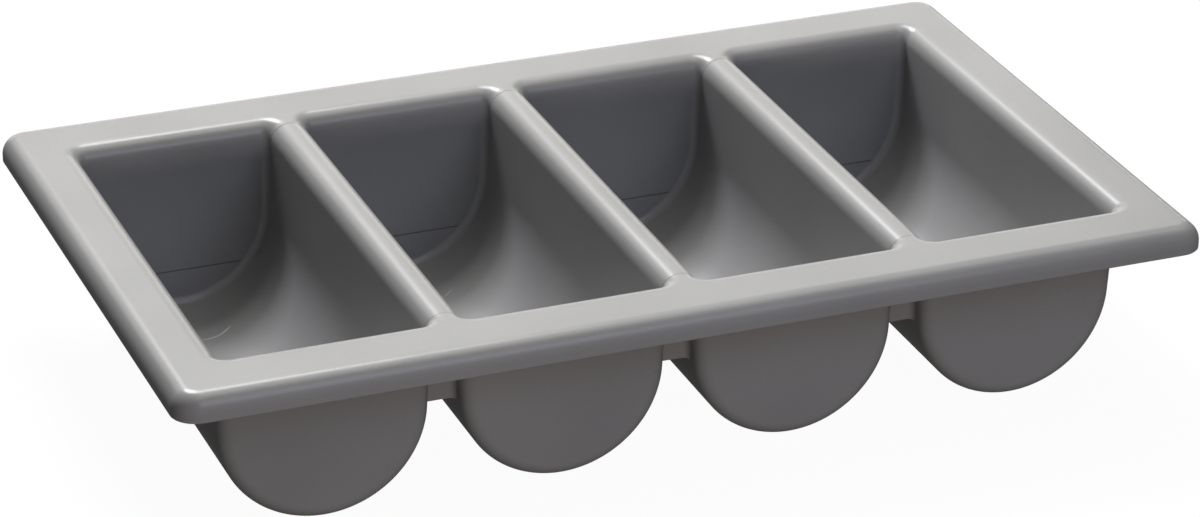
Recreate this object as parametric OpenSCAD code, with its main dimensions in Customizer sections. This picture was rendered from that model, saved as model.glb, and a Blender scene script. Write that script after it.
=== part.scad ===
// Cutlery tray with four long round-bottomed compartments for a 530 x 325 mm counter frame.
// The tray is one thin-walled moulding. Its regions are drawn as separate solids that meet face to face.
// X runs along the length, Y across it (front is -Y) and Z up. The origin is under the centre, at the lowest point.

/* [Overall size] */
// Length over the rim, in mm
tray_length = 530; // [500:1:580]
// Width over the rim, in mm
tray_width = 325; // [260:1:420]
// Height from the trough bottoms to the rim's top, in mm
tray_height = 97; // [85:1:150]
// Thickness of every wall, in mm
wall = 3.2; // [2.2:0.1:3.8]

/* [Rim] */
// Rim width from its outer edge to the inner wall on the two short sides, in mm
side_flange = 33; // [28:0.5:36]
// Rim width from its outer edge to the inner wall on the two long sides, in mm
end_flange = 40; // [30:0.5:50]
// Depth of the skirt below the rim's top, in mm
skirt_depth = 13.2; // [12:0.1:20]
// Radius of the outer edge between the rim's top and the skirt, in mm
rim_round = 9.5; // [6:0.1:10]
// Plan radius of the rim's four corners, in mm
corner_radius = 13; // [11:0.5:24]

/* [Compartments] */
// Radius of the edge that turns from the rim's top down into a compartment, in mm
mouth_round = 9.7; // [7:0.1:10.5]
// Flat left along the top of each divider, in mm
crest_flat = 0.6; // [0.4:0.1:4]
// Lean of the long side walls, in degrees
side_draft = 2.5; // [1:0.1:4]
// Lean of the end walls, in degrees
end_draft = 1.5; // [0.5:0.1:3]
// Inside radius between an end wall and the trough, in mm
inner_round = 4; // [3:0.1:8]

/* [Webs] */
// Distance of each web's outer face from the end of the compartment's opening, in mm
web_setback = 12.25; // [11:0.25:36]
// Depth of a web's lower edge below the rim's top, in mm
web_depth = 50.5; // [30:0.5:60]
// Radius of the hollow corner between a web and a side wall, in mm
web_round = 4; // [2:0.5:5]

/* [Hidden] */
$fn = 96;
bins = 4;
seam_z = tray_height - mouth_round;
round_z = tray_height - rim_round;
skirt_z = tray_height - skirt_depth;
divider_w = 2 * mouth_round + crest_flat;
mouth_w = (tray_length - 2 * side_flange - (bins - 1) * divider_w) / bins;
pitch = mouth_w + divider_w;
mouth_x = mouth_w / 2;
mouth_y = tray_width / 2 - end_flange;
lean = tan(side_draft);
trough_r = (mouth_x - lean * (seam_z - wall)) / (1 / cos(side_draft) - lean);
axis_z = trough_r + wall;
shell_r = trough_r + wall;
outer_round = inner_round + wall;
shear = tan(end_draft);
straight_x = mouth_x - inner_round;
straight_y = mouth_y - inner_round;
end_seam_y = straight_y - shear * seam_z - wall / 2;
lip_r = inner_round + mouth_round;
under_r = mouth_round - wall;
blend = 0.02;
web_y = mouth_y - web_setback;
web_z = tray_height - web_depth;
web_drop = max(0, axis_z - web_z);
web_half = pitch / 2 - sqrt(shell_r * shell_r - web_drop * web_drop) + wall / 8;

function bin_x(i) = (i - (bins - 1) / 2) * pitch;
function divider_x(i) = (i - (bins - 2) / 2) * pitch;

// Quarter of a disc in the first quadrant
module quarter_disc(r) {
    intersection() {
        circle(r);
        square(r + 1);
    }
}

// Quarter of a ring in the first quadrant, one wall thick
module quarter_ring(r) {
    difference() {
        quarter_disc(r);
        circle(r - wall);
    }
}

// Upright section turned so that its second axis becomes Z, centred along Y
module along_y(length) {
    rotate([90, 0, 0])
        linear_extrude(height = length, center = true)
            children();
}

// Section of the skirt and the rim's outer edge, measured inwards from the outer edge
module edge_section() {
    translate([0, skirt_z])
        square([wall, round_z - skirt_z]);
    translate([rim_round, round_z])
        rotate(90)
            quarter_ring(rim_round);
}

// Section of a whole side rail, measured inwards from the outer edge
module rail_section() {
    edge_section();
    translate([rim_round, tray_height - wall])
        square([side_flange - rim_round - mouth_round, wall]);
    translate([side_flange - mouth_round, seam_z])
        quarter_ring(mouth_round);
}

// Rail along a short side, here the left one
module side_rail() {
    translate([-tray_length / 2, 0, 0])
        along_y(2 * straight_y)
            rail_section();
}

// Plan of one compartment's opening at the rim's top, front half only
module lip_plan() {
    translate([-mouth_x - mouth_round, -straight_y])
        square([2 * mouth_x + 2 * mouth_round, straight_y]);
    translate([-straight_x, -straight_y - lip_r])
        square([2 * straight_x, lip_r]);
    translate([straight_x, -straight_y])
        rotate(-90)
            quarter_disc(lip_r);
    translate([-straight_x, -straight_y])
        rotate(180)
            quarter_disc(lip_r);
}

// Plan of the front rail's flat top
module land_plan() {
    reach = tray_length / 2 - rim_round;
    depth = tray_width / 2 - rim_round;
    turn = corner_radius - rim_round;
    difference() {
        union() {
            translate([-reach, -depth + turn])
                square([2 * reach, depth - turn - straight_y]);
            translate([-reach + turn, -depth])
                square([2 * reach - 2 * turn, turn]);
            translate([reach - turn, -depth + turn])
                rotate(-90)
                    quarter_disc(turn);
            translate([-reach + turn, -depth + turn])
                rotate(180)
                    quarter_disc(turn);
        }
        for (i = [0 : bins - 1])
            translate([bin_x(i), 0])
                lip_plan();
    }
}

// Front edge of one compartment's opening with its two corners, turned down into the compartment
module lip() {
    translate([0, -straight_y - lip_r, seam_z])
        rotate([90, 0, 90])
            linear_extrude(height = 2 * straight_x, center = true)
                quarter_ring(mouth_round);
    for (turn = [180, 270])
        translate([turn == 180 ? -straight_x : straight_x, -straight_y, seam_z])
            rotate([0, 0, turn])
                rotate_extrude(angle = 90)
                    translate([lip_r, 0])
                        rotate(90)
                            quarter_ring(mouth_round);
}

// Skirt and outer edge round one corner of the rim
module rim_corner() {
    rotate_extrude(angle = 90)
        translate([corner_radius, 0])
            mirror([1, 0])
                edge_section();
}

// Rail along a long side with both rim corners, here the front one
module end_rail() {
    run_x = tray_length / 2 - corner_radius;
    run_y = tray_width / 2 - corner_radius;
    translate([0, -tray_width / 2, 0])
        rotate([90, 0, 90])
            linear_extrude(height = 2 * run_x, center = true)
                edge_section();
    translate([-run_x, -run_y, 0])
        rotate([0, 0, 180])
            rim_corner();
    translate([run_x, -run_y, 0])
        rotate([0, 0, 270])
            rim_corner();
    translate([-tray_length / 2, -(run_y + straight_y) / 2, 0])
        along_y(run_y - straight_y)
            edge_section();
    translate([tray_length / 2, -(run_y + straight_y) / 2, 0])
        rotate([0, 0, 180])
            along_y(run_y - straight_y)
                edge_section();
    translate([0, 0, tray_height - wall])
        linear_extrude(height = wall)
            land_plan();
    for (i = [0 : bins - 1])
        translate([bin_x(i), 0, 0])
            lip();
}

// Half-round top of a divider, hollow underneath
module divider() {
    along_y(2 * straight_y) {
        translate([crest_flat / 2, seam_z])
            quarter_ring(mouth_round);
        translate([-crest_flat / 2, seam_z])
            rotate(90)
                quarter_ring(mouth_round);
        translate([-crest_flat / 2, tray_height - wall])
            square([crest_flat, wall]);
    }
}

// Filled section of a compartment: a round floor with a leaning side running off each end of it
module bowl_section(r, top) {
    touch_x = r * cos(side_draft) - blend;
    touch_z = axis_z - r * sin(side_draft);
    top_x = r / cos(side_draft) + lean * (top - axis_z) - blend;
    intersection() {
        translate([0, axis_z])
            circle(r);
        translate([-2 * r, axis_z - 2 * r])
            square([4 * r, 2.2 * r]);
    }
    polygon([[-touch_x, touch_z], [touch_x, touch_z], [top_x, top], [-top_x, top]]);
}

// Floor and long sides of a compartment between its end walls
module trough() {
    along_y(2 * end_seam_y)
        difference() {
            bowl_section(shell_r, seam_z);
            bowl_section(trough_r, seam_z + wall);
        }
}

// Half section of a compartment's end along its length, from its axis out to radius r
module end_profile(r, length, bend) {
    start = end_seam_y - 2 * wall;
    translate([-wall, start])
        square([r - bend + wall, length - start]);
    translate([r - bend, start])
        square([bend, length - bend - start]);
    translate([r - bend, length - bend])
        quarter_disc(bend);
}

// Filled end of a compartment with an upright end face and a rounded edge
module end_form(r, length, bend, top) {
    rise = top - axis_z + 2 * wall;
    translate([0, 0, axis_z]) {
        rotate([90, 0, 0])
            rotate([0, 0, side_draft - 180])
                rotate_extrude(angle = 180 - 2 * side_draft)
                    intersection() {
                        end_profile(r, length, bend);
                        square(2 * length);
                    }
        rotate([0, side_draft, 0])
            translate([0, 0, rise])
                rotate([180, 0, 0])
                    linear_extrude(height = rise)
                        end_profile(r, length, bend);
        rotate([0, -side_draft, 0])
            rotate([0, 0, 180])
                linear_extrude(height = rise)
                    end_profile(r, length, bend);
    }
}

// End wall of a compartment, here the front one, leaned out by its draft
module end_wall() {
    difference() {
        multmatrix([[1, 0, 0, 0], [0, 1, -shear, shear * seam_z], [0, 0, 1, 0], [0, 0, 0, 1]])
            difference() {
                end_form(shell_r, mouth_y + wall, outer_round, seam_z);
                end_form(trough_r, mouth_y, inner_round, seam_z);
                translate([-pitch, -tray_width, seam_z])
                    cube([2 * pitch, 2 * tray_width, tray_height]);
            }
        translate([-pitch, -end_seam_y, -tray_height])
            cube([2 * pitch, tray_width, 3 * tray_height]);
    }
}

// Plan of the bay in front of a web, with a round in each of its two inner corners
module bay_plan() {
    flat = web_half - web_round;
    translate([-web_half, -web_round - wall])
        square([2 * web_half, wall]);
    translate([-flat, -web_round])
        square([2 * flat, web_round]);
    translate([flat, -web_round])
        quarter_disc(web_round);
    translate([-flat, -web_round])
        rotate(90)
            quarter_disc(web_round);
}

// Plan of a web between two side walls, with its outer face on the X axis
module web_plan() {
    half = web_half + wall / 2;
    difference() {
        translate([-half, -web_round])
            square([2 * half, web_round + wall]);
        bay_plan();
    }
}

// Plate that closes the channel under a divider near its front end
module web() {
    difference() {
        translate([0, -web_y, web_z])
            linear_extrude(height = seam_z - web_z)
                web_plan();
        for (side = [-1, 1])
            translate([side * pitch / 2, 0, 0])
                along_y(2 * mouth_y)
                    bowl_section(shell_r, seam_z + wall);
    }
    translate([0, -web_y + wall / 2, 0])
        along_y(wall) {
            translate([crest_flat / 2, seam_z])
                quarter_disc(under_r);
            translate([-crest_flat / 2, seam_z])
                rotate(90)
                    quarter_disc(under_r);
            translate([-crest_flat / 2, seam_z])
                square([crest_flat, under_r]);
            translate([-(under_r + crest_flat) / 2, seam_z - wall])
                square([under_r + crest_flat, wall + under_r / 2]);
        }
}

module rail_front() {
    color("Silver")
        end_rail();
}

module rail_back() {
    color("Silver")
        rotate([0, 0, 180])
            end_rail();
}

module rail_left() {
    color("LightGray")
        side_rail();
}

module rail_right() {
    color("LightGray")
        rotate([0, 0, 180])
            side_rail();
}

module divider_at(i) {
    color("Gainsboro")
        translate([divider_x(i), 0, 0])
            divider();
}

module trough_at(i) {
    color("DarkGray")
        translate([bin_x(i), 0, 0])
            trough();
}

module end_front_at(i) {
    color("Gray")
        translate([bin_x(i), 0, 0])
            end_wall();
}

module end_back_at(i) {
    color("Gray")
        translate([bin_x(i), 0, 0])
            rotate([0, 0, 180])
                end_wall();
}

module web_front_at(i) {
    color("DimGray")
        translate([divider_x(i), 0, 0])
            web();
}

module web_back_at(i) {
    color("DimGray")
        translate([divider_x(i), 0, 0])
            rotate([0, 0, 180])
                web();
}

rail_front();
rail_back();
rail_left();
rail_right();
divider_at(0);  // divider_left
divider_at(1);  // divider_middle
divider_at(2);  // divider_right
trough_at(0);  // trough_1
trough_at(1);  // trough_2
trough_at(2);  // trough_3
trough_at(3);  // trough_4
end_front_at(0);  // end_front_1
end_front_at(1);  // end_front_2
end_front_at(2);  // end_front_3
end_front_at(3);  // end_front_4
end_back_at(0);  // end_back_1
end_back_at(1);  // end_back_2
end_back_at(2);  // end_back_3
end_back_at(3);  // end_back_4
web_front_at(0);  // web_front_1
web_front_at(1);  // web_front_2
web_front_at(2);  // web_front_3
web_back_at(0);  // web_back_1
web_back_at(1);  // web_back_2
web_back_at(2);  // web_back_3
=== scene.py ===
"""Grey moulded cutlery box: four round-bottomed compartments under one broad rolled rim.

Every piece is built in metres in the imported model's frame: X runs along the length, Y across it with the
front at -Y, and Z up from the lowest point of the troughs.
"""

import logging
import math
from collections.abc import Callable, Iterable
from dataclasses import dataclass
from enum import Enum

import bmesh
import bpy
from bmesh.types import BMEdge, BMesh, BMFace, BMVert
from mathutils import Euler, Matrix, Vector
from mathutils.kdtree import KDTree


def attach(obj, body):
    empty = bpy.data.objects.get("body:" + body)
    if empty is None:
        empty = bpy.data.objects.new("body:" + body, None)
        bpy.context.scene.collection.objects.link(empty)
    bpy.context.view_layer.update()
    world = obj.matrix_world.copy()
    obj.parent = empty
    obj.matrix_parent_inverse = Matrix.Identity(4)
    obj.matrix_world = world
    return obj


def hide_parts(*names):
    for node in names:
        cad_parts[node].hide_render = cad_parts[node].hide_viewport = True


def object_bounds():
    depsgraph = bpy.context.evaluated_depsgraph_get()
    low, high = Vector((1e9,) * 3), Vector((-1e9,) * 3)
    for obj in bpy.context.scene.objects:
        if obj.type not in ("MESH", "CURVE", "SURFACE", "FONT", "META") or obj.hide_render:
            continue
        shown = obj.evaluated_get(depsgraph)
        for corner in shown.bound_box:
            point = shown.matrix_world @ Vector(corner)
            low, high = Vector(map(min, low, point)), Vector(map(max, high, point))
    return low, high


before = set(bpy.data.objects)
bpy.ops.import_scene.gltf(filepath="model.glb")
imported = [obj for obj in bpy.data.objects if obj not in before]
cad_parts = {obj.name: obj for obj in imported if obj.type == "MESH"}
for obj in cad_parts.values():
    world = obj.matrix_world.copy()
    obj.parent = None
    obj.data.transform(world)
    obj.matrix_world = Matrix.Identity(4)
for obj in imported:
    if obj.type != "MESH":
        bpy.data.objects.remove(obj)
CAD_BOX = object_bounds()

MM = 0.001
BODY = "root"
SHARP_ANGLE = math.radians(40)
NORMAL_WEIGHT = 80
ROUND_PROFILE = 0.5
# Distances within which two places count as one, and the slack for comparing directions.
NEAR = 0.01 * MM
WELD = 1e-6
FINE_WELD = 1e-7
TINY = 1e-6

log = logging.getLogger("cutlery_box")


class Turn(Enum):
    """Way in which a quarter round carries on from a face's outline."""

    OVER = "upright to flat"
    DOWN = "flat to upright"


class End(Enum):
    """The two ends of a compartment, with their sign along Y."""

    FRONT = -1
    BACK = 1


@dataclass(frozen=True)
class TraySizes:
    """Driving sizes of the moulding in metres, and the sizes that follow from them."""

    length: float
    width: float
    height: float
    wall: float = 3.2 * MM
    side_flange: float = 33 * MM
    end_flange: float = 40 * MM
    skirt_depth: float = 13.2 * MM
    rim_round: float = 9.5 * MM
    corner_round: float = 13 * MM
    mouth_round: float = 9.7 * MM
    crest_flat: float = 0.6 * MM
    inner_round: float = 4 * MM
    side_lean: float = math.radians(2.5)
    end_lean: float = math.radians(1.5)
    wall_band: float = 2 * MM
    bins: int = 4

    @property
    def seam_z(self) -> float:
        """Height at which the rolled edges end and the leaning walls begin."""
        return self.height - self.mouth_round

    @property
    def cut_z(self) -> float:
        """Height at which the rim's pieces meet the compartments, a little way down the walls."""
        return self.seam_z - self.wall_band

    @property
    def skirt_z(self) -> float:
        """Height of the skirt's lower edge."""
        return self.height - self.skirt_depth

    @property
    def divider_width(self) -> float:
        """Width of a divider where its half round ends."""
        return 2 * self.mouth_round + self.crest_flat

    @property
    def mouth_x(self) -> float:
        """Half length along X of a compartment's opening."""
        gaps = (self.bins - 1) * self.divider_width
        return (self.length - 2 * self.side_flange - gaps) / self.bins / 2

    @property
    def mouth_y(self) -> float:
        """Half length along Y of a compartment's opening."""
        return self.width / 2 - self.end_flange

    @property
    def straight_y(self) -> float:
        """Half length along Y of a compartment's straight sides."""
        return self.mouth_y - self.inner_round

    @property
    def pitch(self) -> float:
        """Distance from one compartment to the next."""
        return 2 * self.mouth_x + self.divider_width

    @property
    def trough_r(self) -> float:
        """Inside radius of the round floors."""
        lean = math.tan(self.side_lean)
        return (self.mouth_x - lean * (self.seam_z - self.wall)) / (1 / math.cos(self.side_lean) - lean)

    @property
    def axis_z(self) -> float:
        """Height of the troughs' axis."""
        return self.trough_r + self.wall

    def bin_x(self, index: int) -> float:
        """Place along X of a compartment's middle."""
        return (index - (self.bins - 1) / 2) * self.pitch

    def divider_x(self, index: int) -> float:
        """Place along X of a divider's middle."""
        return (index - (self.bins - 2) / 2) * self.pitch

    def side_x(self, radius: float, z: float) -> float:
        """Half width of a trough of that radius at a height above its lowest point.

        Args:
            radius: radius of the round floor.
            z: height at which the width is wanted.

        Returns:
            Distance from the trough's middle to its side.
        """
        drop = self.axis_z - z
        if drop > radius * math.sin(self.side_lean):
            return math.sqrt(max(radius**2 - drop**2, 0.0))
        return radius / math.cos(self.side_lean) - math.tan(self.side_lean) * drop


@dataclass(frozen=True)
class Plan:
    """Rectangle with rounded corners, seen from above."""

    x: float
    half_x: float
    half_y: float
    radius: float
    steps: int = 16

    def plate(self, bm: BMesh, z: float) -> BMFace:
        """Lays the plan as a flat plate.

        Args:
            bm: mesh that takes the plate.
            z: height of the plate.

        Returns:
            The plate's one face, which points up.
        """
        corners = bmesh.ops.create_grid(bm, x_segments=1, y_segments=1, size=1.0)["verts"]
        bmesh.ops.scale(bm, vec=(self.half_x, self.half_y, 1.0), verts=corners)
        bmesh.ops.translate(bm, vec=(self.x, 0, z), verts=corners)
        made = bmesh.ops.bevel(
            bm,
            geom=corners,
            offset=self.radius,
            affect="VERTICES",
            segments=self.steps,
            profile=ROUND_PROFILE,
            material=-1,
        )
        return made["verts"][0].link_faces[0]

    def outward(self, point: Vector) -> Vector:
        """Direction away from the middle of the corner that a point of the outline belongs to."""
        side_x = math.copysign(self.half_x - self.radius, point.x - self.x)
        side_y = math.copysign(self.half_y - self.radius, point.y)
        return Vector((point.x - self.x - side_x, point.y - side_y, 0)).normalized()

    def roll(self, bm: BMesh, face: BMFace, radius: float, steps: int, turn: Turn) -> BMFace:
        """Carries the outline of a plate round a quarter circle, inwards.

        Args:
            bm: mesh that holds the plate.
            face: the plate.
            radius: radius of the quarter circle.
            steps: bands in the quarter circle.
            turn: whether the round ends flat or upright.

        Returns:
            The face that is left inside the round.
        """
        for k in range(steps):
            a, b = (math.pi / 2 * (k + j) / steps for j in (0, 1))
            along, across = math.sin(b) - math.sin(a), math.cos(a) - math.cos(b)
            inset, rise = (across, along) if turn is Turn.OVER else (along, -across)
            face = raise_face(bm, face)
            for v in face.verts:
                v.co += Vector((0, 0, radius * rise)) - self.outward(v.co) * radius * inset
        return face


def raise_face(bm: BMesh, face: BMFace) -> BMFace:
    """Extrudes a plate with nothing left behind it.

    Args:
        bm: mesh that holds the plate.
        face: the plate.

    Returns:
        The new face, still in the old one's place.
    """
    made = bmesh.ops.extrude_face_region(bm, geom=[face])["geom"]
    if face.is_valid:
        bmesh.ops.delete(bm, geom=[face], context="FACES_ONLY")
    return next(g for g in made if isinstance(g, BMFace))


def open_edges(bm: BMesh, keep: Callable[[BMEdge], bool]) -> list[BMEdge]:
    """Edges with one face that pass a test."""
    return [e for e in bm.edges if e.is_boundary and keep(e)]


def close_between(bm: BMesh, first: list[BMEdge], second: list[BMEdge]) -> None:
    """Closes a wall's open edge, from one of its faces to the nearest points of the other.

    Args:
        bm: mesh that holds both faces.
        first: open edges of one face.
        second: open edges of the other, with as many points.
    """
    goals = list(dict.fromkeys(v for e in second for v in e.verts))
    tree = KDTree(len(goals))
    for k, v in enumerate(goals):
        tree.insert(v.co, k)
    tree.balance()
    made = bmesh.ops.extrude_edge_only(bm, edges=first)["geom"]
    moved = [g for g in made if isinstance(g, BMVert)]
    for v in moved:
        v.co = tree.find(v.co)[0]
    bmesh.ops.remove_doubles(bm, verts=moved + goals, dist=WELD)


def middle(edge: BMEdge) -> Vector:
    """Middle of an edge."""
    return (edge.verts[0].co + edge.verts[1].co) / 2


def bevel_edges(bm: BMesh, edges: Iterable[BMEdge], offset: float, segments: int) -> None:
    """Rounds or chamfers a set of edges."""
    bmesh.ops.bevel(
        bm,
        geom=list(edges),
        offset=offset,
        affect="EDGES",
        segments=segments,
        profile=ROUND_PROFILE,
        material=-1,
        clamp_overlap=True,
    )


def finish_piece(
    bm: BMesh,
    name: str,
    nodes: Iterable[str],
    material: bpy.types.Material,
) -> bpy.types.Object:
    """Turns a closed mesh into a piece of the tray.

    Args:
        bm: the mesh, in its final place. It is freed.
        name: name of the piece.
        nodes: construction nodes that the piece stands for.
        material: its finish.

    Returns:
        The new object, which rides on the tray's one body.
    """
    bmesh.ops.remove_doubles(bm, verts=bm.verts[:], dist=FINE_WELD)
    bmesh.ops.recalc_face_normals(bm, faces=bm.faces[:])
    loose = [e for e in bm.edges if not e.is_manifold]
    mesh = bpy.data.meshes.new(name)
    bm.to_mesh(mesh)
    bm.free()
    mesh.shade_smooth()
    mesh.set_sharp_from_angle(angle=SHARP_ANGLE)
    mesh.materials.append(material)
    piece = bpy.data.objects.new(name, mesh)
    bpy.context.scene.collection.objects.link(piece)
    even = piece.modifiers.new("even_normals", "WEIGHTED_NORMAL")
    even.keep_sharp = True
    even.weight = NORMAL_WEIGHT
    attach(piece, BODY)
    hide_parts(*nodes)
    log.info("%s: %d faces, %d open edges", name, len(mesh.polygons), len(loose))
    return piece


@dataclass
class Rim:
    """Rolled frame round the tray with its skirt and the turned-down ends of the openings."""

    sizes: TraySizes
    corner_steps: int = 16
    round_steps: int = 14
    edge_soft: float = 0.5 * MM
    edge_steps: int = 3
    band_slack: float = 0.1 * MM

    def _outer(self, bm: BMesh, sink: float) -> None:
        """Builds the skirt and the outer round.

        Args:
            bm: mesh that takes them.
            sink: depth of this skin under the rim's outside.
        """
        s = self.sizes
        plan = Plan(0.0, s.length / 2 - sink, s.width / 2 - sink, s.corner_round - sink, self.corner_steps)
        plate = raise_face(bm, plan.plate(bm, s.skirt_z))
        bmesh.ops.translate(bm, vec=(0, 0, s.skirt_depth - s.rim_round), verts=plate.verts[:])
        top = plan.roll(bm, plate, s.rim_round - sink, self.round_steps, Turn.OVER)
        bmesh.ops.delete(bm, geom=[top], context="FACES_ONLY")

    def _mouth(self, bm: BMesh, x: float, sink: float) -> None:
        """Builds the turned-down edge of one opening and the top of its walls.

        Args:
            bm: mesh that takes it.
            x: place of the opening along X.
            sink: depth of this skin under the rim's outside.
        """
        s = self.sizes
        half = (s.mouth_x + s.mouth_round, s.mouth_y + s.mouth_round)
        plan = Plan(x, *half, s.inner_round + s.mouth_round, self.corner_steps)
        plate = plan.plate(bm, s.height - sink)
        throat = plan.roll(bm, plate, s.mouth_round - sink, self.round_steps, Turn.DOWN)
        throat = raise_face(bm, throat)
        for side in (-1, 1):
            for end in End:
                corner = [v for v in throat.verts if (v.co.x - x) * side > 0 and v.co.y * end.value > 0]
                lean_x = -side * math.tan(s.side_lean) * s.wall_band
                lean_y = -end.value * math.tan(s.end_lean) * s.wall_band
                bmesh.ops.translate(bm, vec=(lean_x, lean_y, -s.wall_band), verts=corner)
        bmesh.ops.delete(bm, geom=[throat], context="FACES_ONLY")

    def _clear_dividers(self, bm: BMesh) -> None:
        """Takes out the long bands where the dividers' own pieces go."""
        s = self.sizes
        reach = s.divider_width / 2 + s.wall_band
        for i in range(s.bins - 1):
            x = s.divider_x(i)
            bands = [f for f in bm.faces if self._is_band(f) and abs(f.calc_center_median().x - x) < reach]
            bmesh.ops.delete(bm, geom=bands, context="FACES")

    def _is_band(self, face: BMFace) -> bool:
        """Whether a face runs along a compartment's straight side."""
        return all(abs(abs(v.co.y) - self.sizes.straight_y) < self.band_slack for v in face.verts)

    def _crest_ends(self, bm: BMesh, top_z: float) -> list[BMEdge]:
        """Joins neighbouring openings across each end of each divider's crest.

        Args:
            bm: mesh of the skin.
            top_z: height of the skin's flat top.

        Returns:
            The short new edges.
        """
        s = self.sizes
        made = []
        for i in range(s.bins - 1):
            for end in End:
                spot = Vector((s.divider_x(i), end.value * s.straight_y, top_z))
                pair = [v for v in bm.verts if v.is_boundary and (v.co - spot).length < s.crest_flat]
                made.append(bm.edges.new(pair))
        return made

    def _skin(self, bm: BMesh, sink: float) -> None:
        """Builds the whole upper or under face of the frame.

        Args:
            bm: mesh that takes it.
            sink: depth of this skin under the rim's outside.
        """
        s = self.sizes
        skin = bmesh.new()
        top_z = s.height - sink
        self._outer(skin, sink)
        for i in range(s.bins):
            self._mouth(skin, s.bin_x(i), sink)
        self._clear_dividers(skin)
        edges = open_edges(skin, lambda e: abs(middle(e).z - top_z) < NEAR)
        edges += self._crest_ends(skin, top_z)
        bmesh.ops.triangle_fill(skin, use_beauty=True, edges=edges, normal=(0, 0, 1))
        part = bpy.data.meshes.new("skin")
        skin.to_mesh(part)
        skin.free()
        bm.from_mesh(part)
        bpy.data.meshes.remove(part)

    def build(self, material: bpy.types.Material) -> bpy.types.Object:
        """Closes the two skins into the frame.

        Args:
            material: finish of the frame.

        Returns:
            The frame's object.
        """
        s = self.sizes
        bm = bmesh.new()
        self._skin(bm, 0.0)
        upper = open_edges(bm, lambda e: True)
        self._skin(bm, s.wall)
        under = [e for e in open_edges(bm, lambda e: True) if e not in set(upper)]
        close_between(bm, upper, under)
        bmesh.ops.recalc_face_normals(bm, faces=bm.faces[:])
        foot = [e for e in bm.edges if abs(middle(e).z - s.skirt_z) < NEAR and self._is_rim_edge(e)]
        bevel_edges(bm, foot, self.edge_soft, self.edge_steps)
        nodes = ("rail_front", "rail_back", "rail_left", "rail_right")
        return finish_piece(bm, "rim", nodes, material)

    def _is_rim_edge(self, edge: BMEdge) -> bool:
        """Whether an edge runs along the skirt's foot, not across it."""
        return edge.calc_face_angle(0.0) > SHARP_ANGLE


@dataclass
class Divider:
    """Half-round bar between two compartments, hollow underneath."""

    sizes: TraySizes
    index: int
    name: str
    round_steps: int = 14
    crease: float = 0.3 * MM
    end_facing: float = 0.5

    def _section(self, bm: BMesh, sink: float) -> list[BMEdge]:
        """Draws one skin's section at the front end of the bar.

        Args:
            bm: mesh that takes it.
            sink: depth of this skin under the bar's outside.

        Returns:
            The section's edges.
        """
        s = self.sizes
        y = -s.straight_y
        half = s.divider_width / 2 - sink
        foot = half + math.tan(s.side_lean) * s.wall_band
        before = set(bm.edges)
        tip = bm.verts.new((-foot, y, s.cut_z))
        tip = self._draw_to(bm, tip, Vector((-half, y, s.seam_z)))
        tip = self._arc(bm, tip, -s.crest_flat / 2)
        tip = self._draw_to(bm, tip, Vector((s.crest_flat / 2, y, tip.co.z)))
        tip = self._arc(bm, tip, s.crest_flat / 2)
        self._draw_to(bm, tip, Vector((foot, y, s.cut_z)))
        return [e for e in bm.edges if e not in before]

    def _draw_to(self, bm: BMesh, tip: BMVert, place: Vector) -> BMVert:
        """Draws a straight line on from a point.

        Args:
            bm: mesh that holds the point.
            tip: the point.
            place: where the line ends.

        Returns:
            The line's far end.
        """
        made = bmesh.ops.extrude_vert_indiv(bm, verts=[tip])["verts"]
        bmesh.ops.translate(bm, vec=place - tip.co, verts=made)
        return made[0]

    def _arc(self, bm: BMesh, tip: BMVert, centre_x: float) -> BMVert:
        """Draws a quarter circle on from a point, clockwise as seen from the front.

        Args:
            bm: mesh that holds the point.
            tip: the point.
            centre_x: place of the circle's centre along X.

        Returns:
            The arc's far end.
        """
        made = bmesh.ops.spin(
            bm,
            geom=[tip],
            cent=(centre_x, tip.co.y, self.sizes.seam_z),
            axis=(0, 1, 0),
            angle=math.pi / 2,
            steps=self.round_steps,
            use_merge=False,
        )
        return next(g for g in made["geom_last"] if isinstance(g, BMVert))

    def build(self, material: bpy.types.Material) -> bpy.types.Object:
        """Draws both skins along the bar and closes them.

        Args:
            material: finish of the bar.

        Returns:
            The bar's object.
        """
        s = self.sizes
        bm = bmesh.new()
        for sink in (0.0, s.wall):
            drawn = bmesh.ops.extrude_edge_only(bm, edges=self._section(bm, sink))["geom"]
            ends = [g for g in drawn if isinstance(g, BMVert)]
            bmesh.ops.translate(bm, vec=(0, 2 * s.straight_y, 0), verts=ends)
        bmesh.ops.bridge_loops(bm, edges=open_edges(bm, lambda e: True))
        bmesh.ops.recalc_face_normals(bm, faces=bm.faces[:])
        bevel_edges(bm, [e for e in bm.edges if self._is_end(e)], self.crease, 1)
        bmesh.ops.translate(bm, vec=(s.divider_x(self.index), 0, 0), verts=bm.verts[:])
        return finish_piece(bm, f"{self.name}_bar", (self.name,), material)

    def _is_end(self, edge: BMEdge) -> bool:
        """Whether an edge lies across an end of the bar's upper face."""
        s = self.sizes
        if any(abs(abs(v.co.y) - s.straight_y) > NEAR or v.co.z < s.seam_z for v in edge.verts):
            return False
        along = [f for f in edge.link_faces if abs(f.normal.y) < self.end_facing]
        return any(f.normal.z * (f.calc_center_median().z - s.seam_z) > 0 for f in along)


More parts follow.
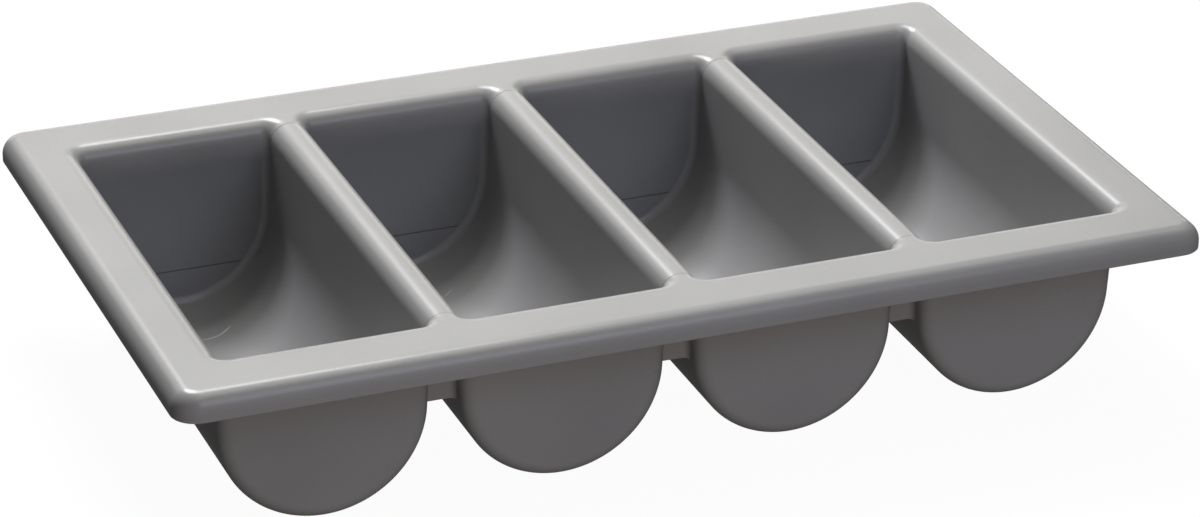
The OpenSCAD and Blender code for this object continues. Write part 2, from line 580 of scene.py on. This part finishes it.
@dataclass
class Compartment:
    """Long trough with a round floor, leaning sides and two end walls with rounded edges."""

    sizes: TraySizes
    index: int
    floor_steps: int = 72
    corner_steps: int = 16
    line_z: float = 21.6 * MM
    line_width: float = 0.5 * MM
    line_depth: float = 0.9 * MM
    mark_y: float = 94.5 * MM
    mark_radius: float = 20 * MM
    mark_width: float = 0.5 * MM
    mark_lift: float = 0.1 * MM
    mark_sink: float = 0.3 * MM
    mark_steps: int = 128
    wall_facing: float = 0.99

    def _section(self, bm: BMesh, radius: float) -> list[BMVert]:
        """Draws a trough's section across its middle.

        Args:
            bm: mesh that takes it.
            radius: radius of the round floor.

        Returns:
            The section's points from the left to the right.
        """
        s = self.sizes
        lean = s.side_lean
        first = bm.verts.new((-radius * math.cos(lean), 0, s.axis_z - radius * math.sin(lean)))
        made = bmesh.ops.spin(
            bm,
            geom=[first],
            cent=(0, 0, s.axis_z),
            axis=(0, -1, 0),
            angle=math.pi - 2 * lean,
            steps=self.floor_steps,
            use_merge=False,
        )
        last = next(g for g in made["geom_last"] if isinstance(g, BMVert))
        for tip, side in ((first, -1), (last, 1)):
            top = bmesh.ops.extrude_vert_indiv(bm, verts=[tip])["verts"]
            place = Vector((side * s.side_x(radius, s.seam_z), 0, s.seam_z))
            bmesh.ops.translate(bm, vec=place - tip.co, verts=top)
        return self._walk(top[0])[::-1]

    def _walk(self, start: BMVert) -> list[BMVert]:
        """Points of an open line in order, from one end."""
        line, edge = [start], None
        while True:
            edge = next((e for e in line[-1].link_edges if e is not edge and not e.link_faces), None)
            if edge is None:
                return line
            line.append(edge.other_vert(line[-1]))

    def _draw_on(self, bm: BMesh, line: list[BMVert], shift: float, inset: float) -> list[BMVert]:
        """Carries a section on towards the front and draws it in.

        Args:
            bm: mesh that holds the section.
            line: the section's points in order.
            shift: distance along Y.
            inset: distance by which the section shrinks.

        Returns:
            The new section's points in order.
        """
        s = self.sizes
        edges = [bm.edges.get(pair) for pair in zip(line, line[1:])]
        bmesh.ops.extrude_edge_only(bm, edges=edges)
        after = []
        for v in line:
            ends = (e.other_vert(v) for e in v.link_edges)
            after.append(next(tip for tip in ends if tip not in line and tip.co == v.co))
        limit = math.sin(s.side_lean)
        for v in after:
            out = Vector((v.co.x, 0, v.co.z - s.axis_z))
            if out.normalized().z > -limit - TINY:
                out = Vector((math.copysign(math.cos(s.side_lean), v.co.x), 0, -limit))
            bmesh.ops.translate(bm, vec=-out.normalized() * inset + Vector((0, -shift, 0)), verts=[v])
        return after

    def _skin(self, bm: BMesh, radius: float, reach: float, bend: float) -> None:
        """Builds the front half of the inner or outer face.

        Args:
            bm: mesh that takes it.
            radius: radius of the round floor.
            reach: half length along Y at the seam's height.
            bend: radius between the end wall and the trough.
        """
        s = self.sizes
        line = self._section(bm, radius)
        line = self._draw_on(bm, line, reach - bend, 0.0)
        moved = list(line)
        for k in range(self.corner_steps):
            a, b = (math.pi / 2 * (k + j) / self.corner_steps for j in (0, 1))
            step, inset = bend * (math.sin(b) - math.sin(a)), bend * (math.cos(a) - math.cos(b))
            line = self._draw_on(bm, line, step, inset)
            moved += line
        bmesh.ops.contextual_create(bm, geom=line)
        slope = math.tan(s.end_lean)
        lean = Matrix(((1, 0, 0, 0), (0, 1, -slope, slope * s.seam_z), (0, 0, 1, 0), (0, 0, 0, 1)))
        bmesh.ops.transform(bm, matrix=lean, verts=moved)

    def _end_faces(self, bm: BMesh, end: End) -> list[BMFace]:
        """Flat faces of an end wall that look into the compartment."""
        facing = [f for f in bm.faces if f.normal.y * end.value < -self.wall_facing]
        return [f for f in facing if f.calc_center_median().y * end.value > 0]

    def _witness_line(self, bm: BMesh, end: End) -> None:
        """Cuts the fine line that the mould's insert leaves across an end wall.

        Args:
            bm: mesh of the closed compartment.
            end: which end wall takes the line.
        """
        for side in (-1, 1):
            wall = max(self._end_faces(bm, end), key=lambda f: f.calc_area())
            level = (0, 0, self.line_z + side * self.line_width / 2)
            parts = [wall, *wall.edges, *wall.verts]
            bmesh.ops.bisect_plane(bm, geom=parts, plane_co=level, plane_no=(0, 0, 1))
        strip = min(self._end_faces(bm, end), key=lambda f: abs(f.calc_center_median().z - self.line_z))
        into_wall = strip.normal * -self.line_depth
        bmesh.ops.translate(bm, vec=into_wall, verts=raise_face(bm, strip).verts[:])

    def _floor_mark(self, bm: BMesh) -> None:
        """Lays the fine raised ring of the mould's round insert on the floor near the back."""
        s = self.sizes
        foot, low = 2 * self.mark_width, -self.mark_sink
        corners = [(-foot, low), (0.0, self.mark_lift), (foot, low)]
        ring = [bm.verts.new((self.mark_radius + dx, 0, dz)) for dx, dz in corners]
        profile = [bm.edges.new(pair) for pair in zip(ring, ring[1:] + ring[:1])]
        before = set(bm.verts) - set(ring)
        bmesh.ops.spin(
            bm,
            geom=ring + profile,
            cent=(0, 0, 0),
            axis=(0, 0, 1),
            angle=2 * math.pi,
            steps=self.mark_steps,
            use_merge=True,
        )
        for v in [v for v in bm.verts if v not in before]:
            floor = s.axis_z - math.sqrt(s.trough_r**2 - v.co.x**2)
            bmesh.ops.translate(bm, vec=(0, self.mark_y, floor), verts=[v])

    def build(self, material: bpy.types.Material) -> bpy.types.Object:
        """Builds both faces, closes them at the top and adds the mould's marks.

        Args:
            material: finish of the compartment.

        Returns:
            The compartment's object.
        """
        s = self.sizes
        bm = bmesh.new()
        self._skin(bm, s.trough_r, s.mouth_y, s.inner_round)
        self._skin(bm, s.trough_r + s.wall, s.mouth_y + s.wall, s.inner_round + s.wall)
        bmesh.ops.mirror(bm, geom=[*bm.verts, *bm.edges, *bm.faces], axis="Y", merge_dist=WELD)
        whole = [*bm.verts, *bm.edges, *bm.faces]
        bmesh.ops.bisect_plane(bm, geom=whole, plane_co=(0, 0, s.cut_z), plane_no=(0, 0, 1), clear_outer=True)
        bmesh.ops.bridge_loops(bm, edges=open_edges(bm, lambda e: True))
        bmesh.ops.recalc_face_normals(bm, faces=bm.faces[:])
        for end in End:
            self._witness_line(bm, end)
        self._floor_mark(bm)
        bmesh.ops.translate(bm, vec=(s.bin_x(self.index), 0, 0), verts=bm.verts[:])
        n = self.index + 1
        nodes = (f"trough_{n}", f"end_front_{n}", f"end_back_{n}")
        return finish_piece(bm, f"compartment_{n}", nodes, material)


@dataclass
class Web:
    """Plate that closes the channel under a divider near one end, with hollow corners."""

    sizes: TraySizes
    index: int
    end: End
    setback: float = 12.25 * MM
    depth: float = 50.5 * MM
    corner: float = 4 * MM
    bury: float = 0.8 * MM
    corner_steps: int = 8
    levels: int = 10
    crown_turns: tuple[int, ...] = (20, 40, 60, 80)
    edge_soft: float = 0.4 * MM
    edge_steps: int = 2

    def _half(self, z: float) -> float:
        """Half width of the channel at a height, with a little to sink into its sides."""
        s = self.sizes
        if z <= s.seam_z:
            return s.pitch / 2 - s.side_x(s.trough_r + s.wall, z) + self.bury
        under = s.mouth_round - s.wall
        return math.sqrt(max(under**2 - (z - s.seam_z) ** 2, 0.0)) + s.crest_flat / 2 + self.bury

    def _plan(self, bm: BMesh, z: float) -> BMFace:
        """Draws the plate's plan at its lower edge.

        Args:
            bm: mesh that takes it.
            z: height of the lower edge.

        Returns:
            The plan as one face.
        """
        s = self.sizes
        half, front = self._half(z), -(s.mouth_y - self.setback)
        side, ahead = half - self.bury, front - self.corner
        bend = side - self.corner
        line = [bm.verts.new((-half, front + s.wall, z)), bm.verts.new((-half, ahead, z))]
        for start, centre_x in (((-side, ahead, z), -bend), ((bend, front, z), bend)):
            tip = bm.verts.new(start)
            line.append(tip)
            bmesh.ops.spin(
                bm,
                geom=[tip],
                cent=(centre_x, ahead, z),
                axis=(0, 0, -1),
                angle=math.pi / 2,
                steps=self.corner_steps,
                use_merge=False,
            )
            for e in list(tip.link_edges):
                line += self._follow(tip, e)
        line += [bm.verts.new((half, ahead, z)), bm.verts.new((half, front + s.wall, z))]
        return bm.faces.new(line)

    def _follow(self, start: BMVert, edge: BMEdge) -> list[BMVert]:
        """Points of an arc after its start, in order."""
        line = [edge.other_vert(start)]
        while True:
            on = next((e for e in line[-1].link_edges if e is not edge), None)
            if on is None:
                return line
            edge = on
            line.append(edge.other_vert(line[-1]))

    def build(self, material: bpy.types.Material) -> bpy.types.Object:
        """Draws the plate up to the divider's underside, fitted to the channel at each level.

        Args:
            material: finish of the plate.

        Returns:
            The plate's object.
        """
        s = self.sizes
        bm = bmesh.new()
        low = s.height - self.depth
        face = self._plan(bm, low)
        foot = face.edges[:]
        z = low
        tops = [low + (s.seam_z - low) * k / self.levels for k in range(1, self.levels + 1)]
        crown = s.mouth_round - s.wall
        tops += [s.seam_z + crown * math.sin(math.radians(a)) for a in self.crown_turns]
        for top in tops:
            made = bmesh.ops.extrude_face_region(bm, geom=[face])["geom"]
            if face.is_valid and z > low:
                bmesh.ops.delete(bm, geom=[face], context="FACES_ONLY")
            face = next(g for g in made if isinstance(g, BMFace))
            bmesh.ops.translate(bm, vec=(0, 0, top - z), verts=face.verts[:])
            bmesh.ops.scale(bm, vec=(self._half(top) / self._half(z), 1, 1), verts=face.verts[:])
            z = top
        bmesh.ops.recalc_face_normals(bm, faces=bm.faces[:])
        bevel_edges(bm, [e for e in foot if e.is_valid], self.edge_soft, self.edge_steps)
        if self.end is End.BACK:
            bmesh.ops.rotate(bm, cent=(0, 0, 0), matrix=Matrix.Rotation(math.pi, 3, "Z"), verts=bm.verts[:])
        bmesh.ops.translate(bm, vec=(s.divider_x(self.index), 0, 0), verts=bm.verts[:])
        name = f"web_{self.end.name.lower()}_{self.index + 1}"
        return finish_piece(bm, f"{name}_plate", (name,), material)


@dataclass(frozen=True)
class Grain:
    """One scale of the irregularity in a moulded surface."""

    scale: float
    detail: float

    def add(self, tree: bpy.types.NodeTree, place: bpy.types.NodeSocket) -> bpy.types.NodeSocket:
        """Adds the irregularity's noise to a material.

        Args:
            tree: nodes of the material.
            place: coordinates on the object.

        Returns:
            The noise, about 0.5 on average.
        """
        noise = tree.nodes.new("ShaderNodeTexNoise")
        noise.inputs["Scale"].default_value = self.scale
        noise.inputs["Detail"].default_value = self.detail
        tree.links.new(place, noise.inputs["Vector"])
        return noise.outputs["Fac"]


@dataclass(frozen=True)
class SatinPlastic:
    """Moulded grey plastic with a fine satin grain, faint specks and faint clouds of tone and gloss."""

    name: str
    colour: tuple[float, float, float] = (0.27, 0.27, 0.272)
    refraction: float = 1.45
    roughness: float = 0.3
    tone_swing: float = 0.2
    gloss_swing: float = 0.03
    speck_share: float = 0.5
    bump: float = 0.12
    bump_height: float = 0.1 * MM
    clouds: Grain = Grain(14, 1)
    specks: Grain = Grain(1600, 2)
    pores: Grain = Grain(2600, 2)

    def build(self) -> bpy.types.Material:
        """Makes the material's nodes.

        Returns:
            The material.
        """
        material = bpy.data.materials.new(self.name)
        material.use_nodes = True
        tree = material.node_tree
        shader = tree.nodes["Principled BSDF"]
        shader.inputs["IOR"].default_value = self.refraction
        place = tree.nodes.new("ShaderNodeTexCoord").outputs["Object"]
        clouds, specks, pores = (grain.add(tree, place) for grain in (self.clouds, self.specks, self.pores))
        self._colour(tree, clouds, specks, shader.inputs["Base Color"])
        self._gloss(tree, clouds, shader.inputs["Roughness"])
        self._bump(tree, pores, shader.inputs["Normal"])
        return material

    def _colour(
        self,
        tree: bpy.types.NodeTree,
        clouds: bpy.types.NodeSocket,
        specks: bpy.types.NodeSocket,
        goal: bpy.types.NodeSocket,
    ) -> None:
        """Varies the colour in clouds and specks.

        Args:
            tree: nodes of the material.
            clouds: wide noise.
            specks: fine noise.
            goal: socket that takes the colour.
        """
        both = tree.nodes.new("ShaderNodeMix")
        both.inputs["Factor"].default_value = self.speck_share
        tree.links.new(clouds, both.inputs["A"])
        tree.links.new(specks, both.inputs["B"])
        tone = tree.nodes.new("ShaderNodeValToRGB")
        for stop, side in zip(tone.color_ramp.elements, (-1, 1)):
            stop.color = (*(c * (1 + side * self.tone_swing) for c in self.colour), 1)
        tree.links.new(both.outputs["Result"], tone.inputs["Fac"])
        tree.links.new(tone.outputs["Color"], goal)

    def _gloss(
        self,
        tree: bpy.types.NodeTree,
        clouds: bpy.types.NodeSocket,
        goal: bpy.types.NodeSocket,
    ) -> None:
        """Varies the roughness in clouds.

        Args:
            tree: nodes of the material.
            clouds: wide noise.
            goal: socket that takes the roughness.
        """
        gloss = tree.nodes.new("ShaderNodeMapRange")
        gloss.inputs["To Min"].default_value = self.roughness - self.gloss_swing
        gloss.inputs["To Max"].default_value = self.roughness + self.gloss_swing
        tree.links.new(clouds, gloss.inputs["Value"])
        tree.links.new(gloss.outputs["Result"], goal)

    def _bump(
        self,
        tree: bpy.types.NodeTree,
        pores: bpy.types.NodeSocket,
        goal: bpy.types.NodeSocket,
    ) -> None:
        """Gives the surface its satin grain.

        Args:
            tree: nodes of the material.
            pores: finest noise.
            goal: socket that takes the surface's direction.
        """
        bump = tree.nodes.new("ShaderNodeBump")
        bump.inputs["Strength"].default_value = self.bump
        bump.inputs["Distance"].default_value = self.bump_height
        tree.links.new(pores, bump.inputs["Height"])
        tree.links.new(bump.outputs["Normal"], goal)


@dataclass(frozen=True)
class SoftBox:
    """Rectangular studio lamp that faces the tray, with a choice of whether shiny surfaces mirror it."""

    name: str
    place: tuple[float, float, float]
    size: tuple[float, float]
    brightness: tuple[float, float, float]
    aim: tuple[float, float, float] = (0, 0, 0.05)
    mirrored: bool = True

    def build(self) -> bpy.types.Object:
        """Hangs the lamp.

        Returns:
            The lamp's object.
        """
        lamp = bpy.data.lights.new(self.name, "AREA")
        lamp.shape = "RECTANGLE"
        lamp.size, lamp.size_y = self.size
        strongest = max(self.brightness)
        lamp.color = [level / strongest for level in self.brightness]
        lamp.energy = math.pi * self.size[0] * self.size[1] * strongest
        holder = bpy.data.objects.new(self.name, lamp)
        holder.location = self.place
        holder.rotation_euler = (Vector(self.aim) - Vector(self.place)).to_track_quat("-Z", "Y").to_euler()
        holder.visible_camera = False
        holder.visible_glossy = self.mirrored
        bpy.context.scene.collection.objects.link(holder)
        return holder


@dataclass
class Studio:
    """White floor, soft lamps, surroundings and the camera at the photograph's angle."""

    lens: float = 133.0944
    sensor: float = 36.0
    clip: tuple[float, float] = (0.05, 100)
    camera_place: tuple[float, float, float] = (-0.747580, -1.893218, 1.028453)
    camera_turn: tuple[float, float, float] = (64.37025, -0.43558, -21.49296)
    floor_reach: float = 12.0
    floor_grey: float = 0.035
    floor_glow: float = 0.96
    floor_roughness: float = 0.9
    mirrored: float = 0.1
    ambient: float = 0.01
    lamps: tuple[SoftBox, ...] = (
        SoftBox("key_high", (0.20, 1.15, 2.15), (0.75, 0.55), (20.4, 20.3, 20.0)),
        SoftBox("key_low", (-0.20, 1.55, 1.90), (0.50, 0.50), (56.5, 56.3, 59.2)),
        SoftBox("overhead", (0.80, 0.45, 1.90), (1.1, 0.9), (1.86, 1.8, 1.6)),
        SoftBox("top", (0.30, 0.0, 2.0), (0.6, 0.5), (3.6, 3.4, 2.8)),
        SoftBox("glint", (-0.15, -0.45, 2.0), (0.2, 0.2), (11.0, 10.5, 9.5)),
        SoftBox("back_wall", (0.12, 2.0, 1.40), (2.8, 0.9), (2.05, 2.02, 1.82)),
        SoftBox("back_low", (0.6, 2.4, 0.42), (3.0, 0.5), (2.4, 2.35, 2.15)),
        SoftBox("front_fill", (0.30, -1.3, 1.1), (0.9, 0.7), (2.15, 2.28, 2.85)),
        SoftBox("front_low", (-0.3, -2.2, 0.15), (0.6, 0.2), (36.2, 33.4, 31.2), mirrored=False),
    )

    def camera(self) -> bpy.types.Object:
        """Sets the camera.

        Returns:
            The camera's object.
        """
        data = bpy.data.cameras.new("camera")
        data.lens = self.lens
        data.sensor_width = self.sensor
        data.sensor_fit = "HORIZONTAL"
        data.clip_start, data.clip_end = self.clip
        camera = bpy.data.objects.new("camera", data)
        camera.location = self.camera_place
        camera.rotation_euler = Euler([math.radians(a) for a in self.camera_turn], "XYZ")
        bpy.context.scene.collection.objects.link(camera)
        bpy.context.scene.camera = camera
        return camera

    def _shown(self, tree: bpy.types.NodeTree) -> bpy.types.NodeSocket:
        """Adds nodes that tell how bright the surroundings show on a ray.

        Args:
            tree: nodes of the floor or the world.

        Returns:
            An output of 1 for the camera, less in reflections and 0 for the light that the tray gets.
        """
        path = tree.nodes.new("ShaderNodeLightPath")
        mirror, dim, shown = (tree.nodes.new("ShaderNodeMath") for _ in range(3))
        mirror.operation, dim.operation, shown.operation = "MAXIMUM", "MULTIPLY", "MAXIMUM"
        tree.links.new(path.outputs["Is Glossy Ray"], mirror.inputs[0])
        tree.links.new(path.outputs["Is Transmission Ray"], mirror.inputs[1])
        tree.links.new(mirror.outputs["Value"], dim.inputs[0])
        dim.inputs[1].default_value = self.mirrored
        tree.links.new(path.outputs["Is Camera Ray"], shown.inputs[0])
        tree.links.new(dim.outputs["Value"], shown.inputs[1])
        return shown.outputs["Value"]

    def world(self) -> None:
        """Lights the surroundings a little, and shows them white."""
        world = bpy.data.worlds.new("surroundings")
        bpy.context.scene.world = world
        world.use_nodes = True
        tree = world.node_tree
        tree.nodes.clear()
        soft, white = (tree.nodes.new("ShaderNodeBackground") for _ in range(2))
        for sky, strength in ((soft, self.ambient), (white, 1.0)):
            sky.inputs["Color"].default_value = (1, 1, 1, 1)
            sky.inputs["Strength"].default_value = strength
        mix = tree.nodes.new("ShaderNodeMixShader")
        out = tree.nodes.new("ShaderNodeOutputWorld")
        tree.links.new(self._shown(tree), mix.inputs["Fac"])
        tree.links.new(soft.outputs["Background"], mix.inputs[1])
        tree.links.new(white.outputs["Background"], mix.inputs[2])
        tree.links.new(mix.outputs["Shader"], out.inputs["Surface"])

    def floor(self) -> bpy.types.Object:
        """Lays the floor, which shows white with the tray's soft shadow.

        Returns:
            The floor's object.
        """
        bm = bmesh.new()
        bmesh.ops.create_grid(bm, x_segments=1, y_segments=1, size=self.floor_reach)
        mesh = bpy.data.meshes.new("floor")
        bm.to_mesh(mesh)
        bm.free()
        floor = bpy.data.objects.new("floor", mesh)
        bpy.context.scene.collection.objects.link(floor)
        material = bpy.data.materials.new("floor_white")
        material.use_nodes = True
        tree = material.node_tree
        shader = tree.nodes["Principled BSDF"]
        shader.inputs["Base Color"].default_value = (self.floor_grey,) * 3 + (1,)
        shader.inputs["Roughness"].default_value = self.floor_roughness
        shader.inputs["Specular IOR Level"].default_value = 0
        glow = tree.nodes.new("ShaderNodeMath")
        glow.operation = "MULTIPLY"
        glow.inputs[1].default_value = self.floor_glow
        tree.links.new(self._shown(tree), glow.inputs[0])
        shader.inputs["Emission Color"].default_value = (1, 1, 1, 1)
        tree.links.new(glow.outputs["Value"], shader.inputs["Emission Strength"])
        mesh.materials.append(material)
        return floor

    def build(self) -> None:
        """Builds the whole studio."""
        self.camera()
        self.world()
        self.floor()
        for lamp in self.lamps:
            lamp.build()
        bpy.context.scene.view_settings.view_transform = "Standard"


def main() -> None:
    """Builds the tray's pieces in order, then the studio."""
    logging.basicConfig(level=logging.INFO, format="%(name)s: %(message)s")
    low, high = CAD_BOX
    sizes = TraySizes(length=high.x - low.x, width=high.y - low.y, height=high.z - low.z)
    plastic = SatinPlastic("grey_satin_plastic").build()
    Rim(sizes).build(plastic)
    for i, name in enumerate(("divider_left", "divider_middle", "divider_right")):
        Divider(sizes, i, name).build(plastic)
    for i in range(sizes.bins):
        Compartment(sizes, i).build(plastic)
    for end in End:
        for i in range(sizes.bins - 1):
            Web(sizes, i, end).build(plastic)
    Studio().build()


if __name__ == "__main__":
    main()
